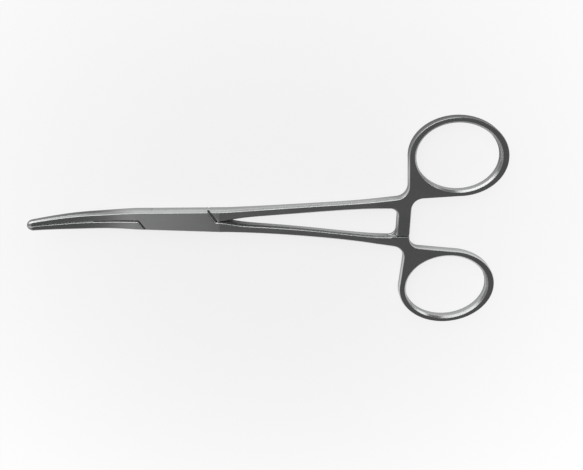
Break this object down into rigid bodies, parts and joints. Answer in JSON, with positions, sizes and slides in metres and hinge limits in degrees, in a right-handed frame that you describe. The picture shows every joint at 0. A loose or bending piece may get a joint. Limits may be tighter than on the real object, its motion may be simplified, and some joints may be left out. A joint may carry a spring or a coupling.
{
  "type": "curved haemostatic forceps",
  "caption": "Steel clamping forceps with slender upturned serrated jaws, a box lock on a flush pin, slim shanks, a ratchet between them and oval finger rings.",
  "frame": {"origin": "where the pivot axis meets the flat back of the box lock", "axes": "+X from the lock to the finger rings, +Y to the upper shank's side, +Z along the pivot axis, the way the jaws curve"},
  "size_m": [0.1401, 0.0656, 0.0097],
  "materials": {
    "halves": "satin stainless steel with polished edges",
    "pin": "satin stainless steel, ground flush"
  },
  "bodies": {
    "box": {"box_half": "halves", "pivot_pin": "pin"},
    "tenon": {"tenon_half": "halves"}
  },
  "joints": [
    {"name": "pivot", "type": "hinge", "parent": "box", "child": "tenon", "pos_m": [0, 0, 0.0023], "axis": [0, 0, 1], "range_deg": [0, 60]}
  ]
}
